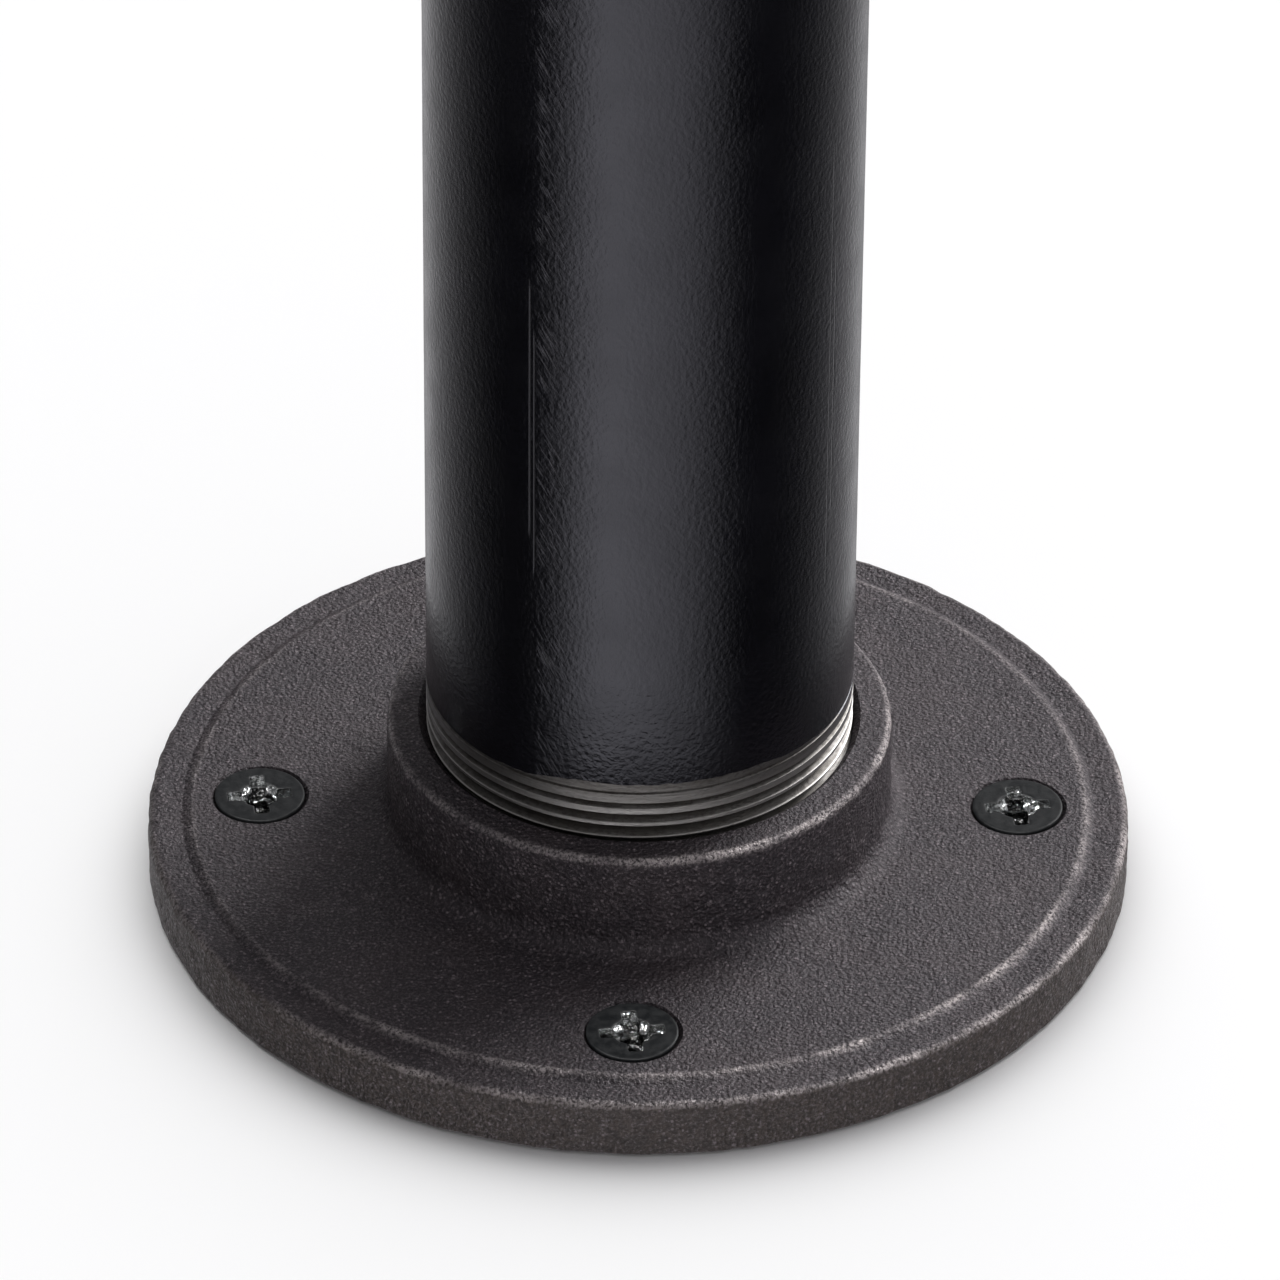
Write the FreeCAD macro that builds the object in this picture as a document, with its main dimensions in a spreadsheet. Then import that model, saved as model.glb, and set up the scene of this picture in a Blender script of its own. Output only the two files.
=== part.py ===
"""Bollard post: a threaded steel pipe screwed into a cast floor flange, capped, and held down by four screws.

Millimetres, +Z up. The origin is the centre of the flange's underside, where it stands on the deck.
The screws stand on the X and Y axes, and -Y is the front.
"""
import FreeCAD, Part
import math
import os
import Sketcher

DIMENSIONS = {
    # 2 inch pipe, schedule 40, in a standard 12 inch length
    "pipe_outside": 60.325,
    "pipe_wall": 3.912,
    "pipe_length": 304.8,
    "pipe_end_bevel": 0.6,
    # 2 inch taper pipe thread: 11.5 threads to the inch, taper 1 in 16 on the diameter
    "thread_pitch": 25.4 / 11.5,
    "thread_pitch_diameter": 57.633,
    "thread_depth": 1.601,
    "thread_flat": 0.18,
    "thread_full_length": 19.215,
    "thread_fade_length": 7.668,
    "thread_taper": 1 / 32,
    "thread_engagement": 17.8,
    "tap_clearance": 0.15,
    "tap_depth": 1.584,
    # floor flange casting
    "flange_diameter": 139.7,
    "flange_thickness": 9.25,
    "face_diameter": 128.4,
    "face_rise": 0.45,
    "step_width": 1.0,
    "rim_round": 1.4,
    "rim_under_bevel": 0.6,
    "hub_diameter": 71.7,
    "hub_height": 25.4,
    "hub_round": 1.1,
    "hub_fillet": 3.0,
    "mouth_diameter": 62.6,
    "mouth_depth": 1.0,
    # countersunk screw holes
    "screw_circle": 107.95,
    "screw_count": 4,
    "hole_diameter": 6.8,
    "sink_diameter": 14.0,
    "sink_depth": 4.142,
    # number 14 flat-head wood screw, 1-1/2 inch long, cross recess number 3
    "screw_length": 38.1,
    "head_diameter": 12.9,
    "head_edge": 0.58,
    "head_height": 4.42,
    "head_round": 0.2,
    "shank_diameter": 6.15,
    "root_diameter": 4.4,
    "screw_pitch": 2.54,
    "screw_turns": 8,
    "screw_crest": 0.3,
    "point_length": 5.2,
    "point_plain": 0.9,
    "recess_width": 9.0,
    "recess_arm": 2.0,
    "recess_depth": 2.2,
    "recess_taper": 9.0,
    "recess_core": 4.8,
    "recess_core_tip": 2.2,
    "recess_core_depth": 3.4,
    # pipe cap casting
    "cap_height": 36.8,
    "cap_diameter": 69.8,
    "cap_band_diameter": 75.3,
    "cap_band_height": 10.7,
    "cap_crown_round": 13.0,
    "cap_band_round": 1.2,
    "cap_cavity_diameter": 61.2,
    "cap_cavity_round": 8.0,
    "cap_crown_wall": 5.0,
    "cap_thread_length": 20.0,
}

SCREW_ANGLES = {"right": 0, "rear": 90, "left": 180, "front": 270}
RECESS_ANGLE = 8  # the cross recesses are turned this far from the X axis
HEAD_RISE = 0.03  # the screw heads stand this little above flush

SPIRAL_STEPS = 24  # points on each turn of a thread's edges
FLANK_SLOPE = math.tan(math.radians(30))  # half-width gained per unit of a thread flank's depth
LIP = 0.06  # a thread cutter's flanks run this far past the surface they cut
REACH = 1.2  # and its straight stretch this far beyond them


# Sheet, sketches and features


def make_sheet(doc):
    sheet = doc.addObject("Spreadsheet::Sheet", "dims")
    for row, (alias, value) in enumerate(DIMENSIONS.items(), start=1):
        sheet.set(f"A{row}", alias)
        sheet.set(f"B{row}", repr(value))
        sheet.setAlias(f"B{row}", alias)
    doc.recompute()
    return sheet


def with_sheet(expression):
    """Write each dimension's name in a spaced-out expression as a reference to its cell."""
    return " ".join(f"dims.{word}" if word in DIMENSIONS else word for word in expression.split())


def bind(feature, **expressions):
    for name, expression in expressions.items():
        feature.setExpression(name.replace("__", "."), with_sheet(expression))


def new_body(doc, name):
    body = doc.addObject("PartDesign::Body", name)
    body.Label = name
    return body


def origin_feature(body, role):
    return next(item for item in body.Origin.OriginFeatures if item.Role == role)


def outline(body, name, corners, role="XZ_Plane"):
    """Draw a closed outline on one of the body's planes, its corners placed from the origin by expressions."""
    sketch = body.newObject("Sketcher::SketchObject", name)
    sketch.AttachmentSupport = [(origin_feature(body, role), "")]
    sketch.MapMode = "FlatFace"
    count = len(corners)
    for index in range(count):
        start = FreeCAD.Vector(index + 1, index**2 + 1, 0)
        end = FreeCAD.Vector(index + 2, (index + 1) ** 2 + 1, 0)
        sketch.addGeometry(Part.LineSegment(start, end))
    for index in range(count):
        sketch.addConstraint(Sketcher.Constraint("Coincident", index, 2, (index + 1) % count, 1))
    for index, (across, along) in enumerate(corners):
        place_corner(sketch, index, "DistanceX", -2, across)
        place_corner(sketch, index, "DistanceY", -1, along)
    return sketch


def place_corner(sketch, index, kind, axis, expression):
    """Fix one coordinate of a line's start: on the axis where it is 0, else at a distance from the origin."""
    if expression == "0":
        sketch.addConstraint(Sketcher.Constraint("PointOnObject", index, 1, axis))
        return
    number = sketch.addConstraint(Sketcher.Constraint(kind, -1, 1, index, 1, 1.0 + index))
    sketch.setExpression(f"Constraints[{number}]", with_sheet(expression))


def turned(body, name, corners):
    """Turn an outline of (radius, height) corners about the Z axis."""
    turning = body.newObject("PartDesign::Revolution", name)
    turning.Profile = outline(body, f"{name}_outline", corners)
    turning.ReferenceAxis = (origin_feature(body, "Z_Axis"), [""])
    turning.Angle = 360
    body.Document.recompute()


def cone_cut(body, name, low_radius, high_radius, length, foot="0", across="0"):
    cut = body.newObject("PartDesign::SubtractiveCone", name)
    bind(cut, Radius1=low_radius, Radius2=high_radius, Height=length)
    bind(cut, Placement__Base__z=foot, Placement__Base__x=across)
    return cut


def drilled(body, name, radius, length, foot="0", across="0"):
    cut = body.newObject("PartDesign::SubtractiveCylinder", name)
    bind(cut, Radius=radius, Height=length, Placement__Base__z=foot, Placement__Base__x=across)
    return cut


def round_rings(body, name, size, *rings):
    """Round the circular edges found at the given (diameter, height) places."""
    edges = []
    for number, edge in enumerate(body.Tip.Shape.Edges, start=1):
        if isinstance(edge.Curve, Part.Circle) and any(on_ring(edge.Curve, *ring) for ring in rings):
            edges.append(f"Edge{number}")
    base = body.Tip
    rounding = body.newObject("PartDesign::Fillet", name)
    rounding.Base = (base, edges)
    bind(rounding, Radius=size)
    body.Document.recompute()


def on_ring(circle, diameter, height):
    same_size = math.isclose(circle.Radius * 2, diameter, abs_tol=1e-4)
    return same_size and math.isclose(circle.Center.z, height, abs_tol=1e-4)


def threaded(doc, name, blank, *grooves):
    """Finish a piece: cut thread grooves from its blank."""
    doc.recompute()
    shape = blank.Shape.copy()
    for cutter in grooves:
        before = shape.Volume
        shape = shape.cut(cutter)
        if before - shape.Volume < 1:
            raise RuntimeError(f"{name} has lost a thread")
    piece = doc.addObject("Part::Feature", name)
    piece.Label = name
    piece.Shape = shape
    return piece


# Threads


def spiral(section, first_turn, last_turn):
    """Solid swept round the Z axis by a section: a function from turn to its (radius, height) corners."""

    def corners(turn):
        angle = 2 * math.pi * turn
        across = FreeCAD.Vector(math.cos(angle), math.sin(angle), 0)
        return [across * radius + FreeCAD.Vector(0, 0, height) for radius, height in section(turn)]

    faces = []
    start = first_turn
    while start < last_turn:
        end = min(math.floor(start * 2 + 1) / 2, last_turn)
        steps = max(4, math.ceil((end - start) * SPIRAL_STEPS))
        rows = [corners(start + (end - start) * step / steps) for step in range(steps + 1)]
        edges = [smooth_edge(points) for points in zip(*rows)]
        faces += [Part.makeRuledSurface(edge, edges[index - 1]) for index, edge in enumerate(edges)]
        start = end
    for turn in (first_turn, last_turn):
        ring = corners(turn)
        faces.append(Part.Face(Part.makePolygon(ring + ring[:1])))
    skin = Part.Compound(faces)
    skin.sewShape()
    solid = Part.Solid(skin.Shells[0])
    if solid.Volume < 0:
        solid.reverse()
    return solid


def smooth_edge(points):
    curve = Part.BSplineCurve()
    curve.interpolate(list(points))
    return curve.toShape()


def crest_radius(dims, along):
    """Radius over the pipe thread's crests, at a distance along from the pipe's end."""
    return (dims.thread_pitch_diameter + dims.thread_depth) / 2 + along * dims.thread_taper


def pipe_thread_section(dims):
    """Groove between the pipe's threads. Past turn 0 it grows shallower until it leaves the pipe."""

    def section(turn):
        along = dims.thread_full_length + turn * dims.thread_pitch
        crest = crest_radius(dims, min(along, dims.thread_full_length))
        root = crest - dims.thread_depth
        if turn > 0:
            faded = turn * dims.thread_pitch / dims.thread_fade_length
            root += (dims.pipe_outside / 2 + LIP - root) * faded
        lip = max(crest, root) + LIP
        narrow = dims.thread_flat / 2
        return groove(along, root, lip, lip + REACH, narrow, narrow + (lip - root) * FLANK_SLOPE)

    return section


def tap_section(dims, pipe_end):
    """Groove that the pipe's threads sit in, with the pipe's end at height pipe_end."""

    def section(turn):
        along = dims.thread_full_length + (turn + 0.5) * dims.thread_pitch
        root = crest_radius(dims, along) + dims.tap_clearance
        lip = root - dims.tap_depth - LIP
        narrow = dims.thread_flat / 2
        wide = narrow + (root - lip) * FLANK_SLOPE
        return groove(pipe_end + along, root, lip, lip - REACH, narrow, wide)

    return section


def screw_thread_section(dims):
    """Wide groove between a wood screw's ridges. It follows the point, and fades over its last turn."""

    def section(turn):
        above_tip = dims.point_plain + turn * dims.screw_pitch
        crest = dims.shank_diameter / 2 * min(1, above_tip / dims.point_length)
        root = crest * dims.root_diameter / dims.shank_diameter
        faded = max(0, turn - dims.screw_turns + 1)
        root += (crest + LIP / 2 - root) * faded
        lip = crest + LIP
        wide = (dims.screw_pitch - dims.screw_crest) / 2
        narrow = wide - (lip - root) * FLANK_SLOPE
        return groove(above_tip - dims.screw_length, root, lip, lip + REACH, narrow, wide)

    return section


def groove(height, root, lip, outer, narrow, wide):
    """Corners of a groove's section: narrow at its root, wide at its lip and straight beyond it."""
    lower = [(root, height - narrow), (lip, height - wide), (outer, height - wide)]
    upper = [(outer, height + wide), (lip, height + wide), (root, height + narrow)]
    return lower + upper


# Pieces


def make_pipe(doc, dims):
    body = new_body(doc, "pipe_blank")
    bore = "pipe_outside / 2 - pipe_wall"
    small = "( thread_pitch_diameter + thread_depth ) / 2"
    taper_end = f"( pipe_outside / 2 - {small} ) / thread_taper"
    turned(body, "tube", [
        (bore, "0"),
        (f"{small} - pipe_end_bevel", "0"),
        (small, "pipe_end_bevel"),
        ("pipe_outside / 2", taper_end),
        ("pipe_outside / 2", f"pipe_length - {taper_end}"),
        (small, "pipe_length - pipe_end_bevel"),
        (f"{small} - pipe_end_bevel", "pipe_length"),
        (bore, "pipe_length"),
    ])
    last_turn = dims.thread_fade_length / dims.thread_pitch
    lower = spiral(pipe_thread_section(dims), -10, last_turn)
    upper = lower.copy()
    upper.Placement = turned_over(dims.pipe_length)
    pipe = threaded(doc, "post_pipe", body, lower, upper)
    pipe.Placement.Base.z = dims.hub_height - dims.thread_engagement
    return pipe


def turned_over(height):
    """Placement that turns a piece upside down about the X axis and lifts its foot to a height."""
    return FreeCAD.Placement(FreeCAD.Vector(0, 0, height), FreeCAD.Rotation(FreeCAD.Vector(1, 0, 0), 180))


def bore_radius(pipe_end, height):
    """Expression for the tapered bore's radius at a height, with the pipe's end at pipe_end."""
    crest = f"( thread_pitch_diameter + thread_depth ) / 2 + ( {height} - ( {pipe_end} ) ) * thread_taper"
    return f"{crest} + tap_clearance - tap_depth"


def cut_mouth(body, name, height):
    """Bevel the mouth of a tapped bore whose top is at a height."""
    inner = "mouth_diameter / 2 - mouth_depth"
    cone_cut(body, name, inner, "mouth_diameter / 2", "mouth_depth", f"{height} - mouth_depth")


def make_flange(doc, dims):
    body = new_body(doc, "flange_casting")
    face = "( flange_thickness + face_rise )"
    turned(body, "disc_and_hub", [
        ("0", "0"),
        ("flange_diameter / 2 - rim_under_bevel", "0"),
        ("flange_diameter / 2", "rim_under_bevel"),
        ("flange_diameter / 2", "flange_thickness"),
        ("( face_diameter + step_width ) / 2", "flange_thickness"),
        ("( face_diameter - step_width ) / 2", face),
        ("hub_diameter / 2", face),
        ("hub_diameter / 2", "hub_height"),
        ("0", "hub_height"),
    ])
    face_height = dims.flange_thickness + dims.face_rise
    round_rings(body, "rim_rounding", "rim_round", (dims.flange_diameter, dims.flange_thickness))
    round_rings(body, "hub_foot_fillet", "hub_fillet", (dims.hub_diameter, face_height))
    round_rings(body, "hub_top_rounding", "hub_round", (dims.hub_diameter, dims.hub_height))
    pipe_end = "hub_height - thread_engagement"
    low_radius = bore_radius(pipe_end, "0")
    cone_cut(body, "tapered_bore", low_radius, bore_radius(pipe_end, "hub_height"), "hub_height")
    cone_cut(body, "bore_foot_bevel", f"{low_radius} + 2 * mouth_depth", low_radius, "2 * mouth_depth")
    cut_mouth(body, "bore_mouth_bevel", "hub_height")
    place = "screw_circle / 2"
    hole = drilled(body, "screw_hole", "hole_diameter / 2", face, "0", place)
    sink = cone_cut(body, "countersink", "hole_diameter / 2", "sink_diameter / 2", "sink_depth",
                    f"{face} - sink_depth", place)
    holes = body.newObject("PartDesign::PolarPattern", "screw_holes")
    holes.Originals = [hole, sink]
    holes.Axis = (origin_feature(body, "Z_Axis"), [""])
    holes.Angle = 360
    bind(holes, Occurrences="screw_count")
    body.Tip = holes
    tap = spiral(tap_section(dims, dims.hub_height - dims.thread_engagement), -14, 0)
    return threaded(doc, "floor_flange", body, tap)


def make_cap(doc, dims):
    """The cap is modelled mouth upwards, then turned over onto the pipe's top end."""
    body = new_body(doc, "cap_casting")
    band_foot = "cap_height - cap_band_height"
    turned(body, "crown_and_band", [
        ("0", "0"),
        ("cap_diameter / 2", "0"),
        ("cap_diameter / 2", band_foot),
        ("cap_band_diameter / 2", band_foot),
        ("cap_band_diameter / 2", "cap_height"),
        ("0", "cap_height"),
    ])
    band_height = dims.cap_height - dims.cap_band_height
    round_rings(body, "crown_rounding", "cap_crown_round", (dims.cap_diameter, 0))
    round_rings(body, "band_rounding", "cap_band_round", (dims.cap_band_diameter, band_height),
                (dims.cap_band_diameter, dims.cap_height), (dims.cap_diameter, band_height))
    thread_foot = "cap_height - cap_thread_length"
    drilled(body, "cavity", "cap_cavity_diameter / 2", f"{thread_foot} - cap_crown_wall", "cap_crown_wall")
    doc.recompute()
    round_rings(body, "cavity_rounding", "cap_cavity_round", (dims.cap_cavity_diameter, dims.cap_crown_wall))
    pipe_end = "cap_height - thread_engagement"
    cone_cut(body, "tapered_bore", bore_radius(pipe_end, f"( {thread_foot} )"),
             bore_radius(pipe_end, "cap_height"), "cap_thread_length", thread_foot)
    cut_mouth(body, "bore_mouth_bevel", "cap_height")
    tap = spiral(tap_section(dims, dims.cap_height - dims.thread_engagement), -11, 0)
    cap = threaded(doc, "end_cap", body, tap)
    pipe_top = dims.hub_height - dims.thread_engagement + dims.pipe_length
    cap.Placement = turned_over(pipe_top - dims.thread_engagement + dims.cap_height)
    return cap


def make_screw(doc, dims, side, angle):
    """The screw is modelled with the top of its head at the origin, then set in its hole."""
    body = new_body(doc, f"screw_blank_{side}")
    turned(body, "screw", [
        ("0", "0"),
        ("head_diameter / 2", "0"),
        ("head_diameter / 2", "- head_edge"),
        ("shank_diameter / 2", "- head_height"),
        ("shank_diameter / 2", "point_length - screw_length"),
        ("0", "- screw_length"),
    ])
    round_rings(body, "head_rounding", "head_round", (dims.head_diameter, 0))
    end, arm = "recess_width / 2", "recess_arm / 2"
    quarter = [(end, arm), (arm, arm), (arm, end)]
    cross = [(signed(x, right), signed(y, up)) for right, up in ((1, 1), (-1, 1), (-1, -1), (1, -1))
             for x, y in (quarter if right * up > 0 else quarter[::-1])]
    recess = body.newObject("PartDesign::Pocket", "recess")
    recess.Profile = outline(body, "recess_cross", cross, "XY_Plane")
    bind(recess, Length="recess_depth", TaperAngle="- recess_taper")
    cone_cut(body, "recess_core", "recess_core_tip / 2", "recess_core / 2", "recess_core_depth",
             "- recess_core_depth")
    thread = spiral(screw_thread_section(dims), 0.25, dims.screw_turns)
    screw = threaded(doc, f"deck_screw_{side}", body, thread)
    turn = FreeCAD.Rotation(FreeCAD.Vector(0, 0, 1), RECESS_ANGLE)
    radius = dims.screw_circle / 2
    place = FreeCAD.Vector(radius * math.cos(math.radians(angle)), radius * math.sin(math.radians(angle)),
                           dims.flange_thickness + dims.face_rise + HEAD_RISE)
    screw.Placement = FreeCAD.Placement(place, turn)
    return screw


def signed(expression, sign):
    return expression if sign > 0 else f"- {expression}"


# Checks and files


def check(doc, pieces):
    """Stop if any feature failed, or if a piece isn't one valid solid."""
    for item in doc.Objects:
        if "Invalid" in item.State or "Error" in item.State:
            raise RuntimeError(f"{item.Name} did not compute: {item.State}")
    for piece in pieces:
        shape = piece.Shape
        if shape.isNull() or not shape.isValid() or len(shape.Solids) != 1:
            raise RuntimeError(f"{piece.Label} is not one valid solid")


def main():
    doc = FreeCAD.newDocument("bollard_post")
    dims = make_sheet(doc)
    pieces = [make_flange(doc, dims), make_pipe(doc, dims), make_cap(doc, dims)]
    pieces += [make_screw(doc, dims, side, angle) for side, angle in SCREW_ANGLES.items()]
    doc.recompute()
    check(doc, pieces)
    os.makedirs("parts", exist_ok=True)
    for piece in pieces:
        piece.Shape.exportStep(f"parts/{piece.Label}.step")
        print(f"{piece.Label}: {piece.Shape.Volume:.1f} mm3")


main()
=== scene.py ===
"""Looks of the bollard post: a lacquered pipe in a sand-cast floor flange, with a cap and black screws."""
import bmesh
import bpy
import math
import numpy as np
from mathutils import Matrix, Vector


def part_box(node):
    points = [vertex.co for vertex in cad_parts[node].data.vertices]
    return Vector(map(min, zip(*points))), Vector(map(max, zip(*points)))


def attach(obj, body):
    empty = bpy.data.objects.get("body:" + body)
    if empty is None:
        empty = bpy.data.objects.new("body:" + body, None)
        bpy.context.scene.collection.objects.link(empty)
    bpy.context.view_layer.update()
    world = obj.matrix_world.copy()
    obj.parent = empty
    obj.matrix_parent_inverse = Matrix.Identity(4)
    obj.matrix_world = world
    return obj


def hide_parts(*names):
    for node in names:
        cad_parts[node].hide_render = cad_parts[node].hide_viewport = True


MM = 0.001
DEG = math.pi / 180

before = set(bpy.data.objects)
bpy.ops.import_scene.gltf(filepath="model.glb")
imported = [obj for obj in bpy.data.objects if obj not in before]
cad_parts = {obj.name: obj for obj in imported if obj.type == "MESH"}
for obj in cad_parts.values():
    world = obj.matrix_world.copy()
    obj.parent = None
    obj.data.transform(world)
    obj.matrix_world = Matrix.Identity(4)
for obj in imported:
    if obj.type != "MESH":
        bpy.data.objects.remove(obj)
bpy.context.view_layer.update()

# Places and sizes read from the CAD parts in model.glb, in millimetres like every length below


def span(node):
    low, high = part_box(node)
    return np.array(low) / MM, np.array(high) / MM


flange_high = span("floor_flange")[1]
pipe_low, pipe_high = span("post_pipe")
cap_low, cap_high = span("end_cap")
FLANGE_RADIUS = flange_high[0]
HUB_TOP = flange_high[2]
PIPE_RADIUS = pipe_high[0]
PIPE_FOOT, PIPE_TOP = pipe_low[2], pipe_high[2]
CAP_FOOT, CAP_TOP = cap_low[2], cap_high[2]
CAP_BAND_RADIUS = cap_high[0]
SCREW_SIDES = ("front", "left", "right", "rear")

# 2 inch taper pipe thread, as cut on the pipe and tapped in the castings
PITCH = 25.4 / 11.5
TAPER = 1 / 32
THREAD_SMALL = 29.617  # radius over the crests at the pipe's end
THREAD_DEPTH = 1.601
THREAD_FLAT = 0.09  # half the width of a groove's bottom
FULL_LENGTH = 19.215
FADE_LENGTH = 7.668  # the groove fades out over this length, past the full thread
FADE_RISE = 0.06  # and ends this far outside the pipe's surface
LEAST_GROOVE = 0.02
FLANK = math.tan(30 * DEG)
END_BEVEL = 0.6
TAP_CLEARANCE = 0.15
TAP_DEPTH = 1.584
MOUTH_RADIUS = 31.3
PIPE_BORE = PIPE_RADIUS - 3.912  # the wall of standard-weight pipe

# Smooth noise worked out from integer hashes, the same on every run

HASH_FACTORS = (374761393, 668265263, 2147483647)
HASH_SEED = 974634777
HASH_MIX = 1274126177
HASH_MASK = 0xFFFFFF


def lattice(cell, seed):
    """A value from 0 to 1 for each whole-number cell."""
    key = sum(cell[..., axis] * factor for axis, factor in enumerate(HASH_FACTORS)) + seed * HASH_SEED
    key = (key ^ (key >> 13)) * HASH_MIX
    key = key ^ (key >> 16)
    return (key & HASH_MASK) / HASH_MASK


def smooth_share(part):
    return part * part * (3 - 2 * part)


def smoothstep(low, high, value):
    return smooth_share(np.clip((value - low) / (high - low), 0, 1))


def noise(points, size, seed=0):
    """Value noise from -1 to 1 whose lumps are about size across."""
    place = points / size
    cell = np.floor(place).astype(np.int64)
    part = smooth_share(place - cell)
    total = 0
    for corner in np.ndindex(2, 2, 2):
        weight = np.prod(np.where(corner, part, 1 - part), axis=-1)
        total = total + weight * lattice(cell + np.array(corner), seed)
    return total * 2 - 1


def layered_noise(points, layers):
    """The sum of noise layers, each given as its height, the size of its lumps and its seed."""
    return sum(height * noise(points, size, seed) for height, size, seed in layers)


# Reading and writing meshes


def new_piece(name, mesh):
    piece = bpy.data.objects.new(name, mesh)
    bpy.context.scene.collection.objects.link(piece)
    return piece


def read_points(mesh):
    values = np.empty(len(mesh.vertices) * 3)
    mesh.vertices.foreach_get("co", values)
    return values.reshape(-1, 3) / MM


def read_normals(mesh):
    values = np.empty(len(mesh.vertices) * 3, np.float32)
    mesh.vertex_normals.foreach_get("vector", values)
    return values.reshape(-1, 3).astype(float)


def write_points(mesh, points):
    mesh.vertices.foreach_set("co", (points * MM).ravel())
    mesh.update()


def write_mask(mesh, name, values):
    attribute = mesh.attributes.new(name, "FLOAT", "POINT")
    attribute.data.foreach_set("value", values.astype(np.float32))


def apply_modifiers(piece):
    """Give a piece the mesh that its modifiers make, and take them off."""
    depsgraph = bpy.context.evaluated_depsgraph_get()
    result = bpy.data.meshes.new_from_object(piece.evaluated_get(depsgraph))
    piece.modifiers.clear()
    piece.data = result


def cut_out(piece, cutter):
    """Take a cutter's shape out of a piece, and the cutter out of the scene."""
    cut = piece.modifiers.new("cut", "BOOLEAN")
    cut.operation = "DIFFERENCE"
    cut.solver = "MANIFOLD"
    cut.object = cutter
    apply_modifiers(piece)
    bpy.data.objects.remove(cutter)


# Turned shapes

ARC_FINENESS = 0.6  # the step along an arc, as a share of the step along a straight
ARC_PIECES = 4  # at least, in each arc
POINTS_PER_MM = 1e4  # points that are equal at this fineness are one point


def arc_points(before, here, after, step):
    """The points of the arc that rounds the corner at here, between its two neighbours."""
    corner, radius = np.array(here[:2], float), here[2]
    back = np.array(before[:2]) - corner
    ahead = np.array(after[:2]) - corner
    back, ahead = back / np.linalg.norm(back), ahead / np.linalg.norm(ahead)
    half = math.acos(np.clip(back @ ahead, -1, 1)) / 2
    reach = radius / math.tan(half)
    middle = corner + (back + ahead) / np.linalg.norm(back + ahead) * radius / math.sin(half)
    start, end = corner + back * reach - middle, corner + ahead * reach - middle
    turn = math.atan2(start[0] * end[1] - start[1] * end[0], start @ end)
    count = max(ARC_PIECES, math.ceil(abs(turn) * radius / (step * ARC_FINENESS)))
    points = []
    for index in range(count + 1):
        angle = turn * index / count
        spin = np.array([[math.cos(angle), -math.sin(angle)], [math.sin(angle), math.cos(angle)]])
        points.append(middle + spin @ start)
    return points


def rounded(corners, step):
    """Sample an open outline of (radius, height, rounding) corners, with arcs at its corners."""
    points = [np.array(corners[0][:2], float)]
    for before, here, after in zip(corners, corners[1:], corners[2:]):
        points += arc_points(before, here, after, step) if here[2] else [np.array(here[:2], float)]
    points.append(np.array(corners[-1][:2], float))
    filled = [points[0]]
    for start, end in zip(points, points[1:]):
        pieces = max(1, math.ceil(np.linalg.norm(end - start) / step))
        filled += [start + (end - start) * index / pieces for index in range(1, pieces + 1)]
    return np.array(filled)


def ring_angles(count):
    return np.linspace(0, 2 * math.pi, count + 1)


def ring(radius, height, angles):
    """One row of points round Z."""
    radius = radius + 0 * angles
    return np.stack([radius * np.cos(angles), radius * np.sin(angles), height + 0 * angles], axis=-1)


def turned_patch(outline, angles):
    """Grid of points of an outline turned about Z: rows along the outline, columns round it."""
    radius = outline[:, 0][:, None]
    height = np.repeat(outline[:, 1][:, None], len(angles), axis=1)
    return np.stack([radius * np.cos(angles), radius * np.sin(angles), height], axis=-1)


def dropped(patch, height):
    """The patch with its distance along the pipe turned into a height."""
    return patch + np.array([0, 0, height])


def turned_over(patch, height):
    """The patch turned half round X, so that it measures downwards from a height."""
    return patch * np.array([1, -1, -1]) + np.array([0, 0, height])


def inward(patch):
    """The same patch facing the other way."""
    return patch[::-1]


def joined_mesh(name, patches):
    """One closed mesh from grids whose edges meet: equal points are merged and empty faces dropped."""
    points = np.concatenate([patch.reshape(-1, 3) for patch in patches])
    faces = []
    start = 0
    for patch in patches:
        rows, columns = patch.shape[:2]
        index = np.arange(rows * columns).reshape(rows, columns) + start
        quads = np.stack([index[:-1, :-1], index[:-1, 1:], index[1:, 1:], index[1:, :-1]], axis=-1)
        faces.append(quads.reshape(-1, 4))
        start += rows * columns
    keys, first, where = np.unique(np.round(points * POINTS_PER_MM).astype(np.int64), axis=0,
                                   return_index=True, return_inverse=True)
    quads = where.reshape(-1)[np.concatenate(faces)]
    kept = []
    for quad in quads.tolist():
        corners = [v for i, v in enumerate(quad) if v != quad[i - 1]]
        if len(set(corners)) == len(corners) and len(corners) > 2:
            kept.append(corners)
    mesh = bpy.data.meshes.new(name)
    mesh.from_pydata((points[first] * MM).tolist(), [], kept)
    mesh.validate()
    mesh.update()
    return mesh


# Threads, measured along the pipe from its end; turn counts pitches past the full thread's end


def groove_root(turn):
    """Radius at the bottom of the pipe's thread groove, which fades out past the full thread."""
    foot = THREAD_SMALL - THREAD_DEPTH + TAPER * FULL_LENGTH
    faded = foot + (PIPE_RADIUS + FADE_RISE - foot) * turn * PITCH / FADE_LENGTH
    full = THREAD_SMALL - THREAD_DEPTH + TAPER * (FULL_LENGTH + turn * PITCH)
    return np.where(turn > 0, faded, full)


def groove_half_width(turn):
    """Half the width of the pipe's thread groove where it meets the surface."""
    crest = np.minimum(THREAD_SMALL + TAPER * (FULL_LENGTH + turn * PITCH), PIPE_RADIUS)
    return THREAD_FLAT + np.maximum(LEAST_GROOVE, crest - groove_root(turn)) * FLANK


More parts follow.
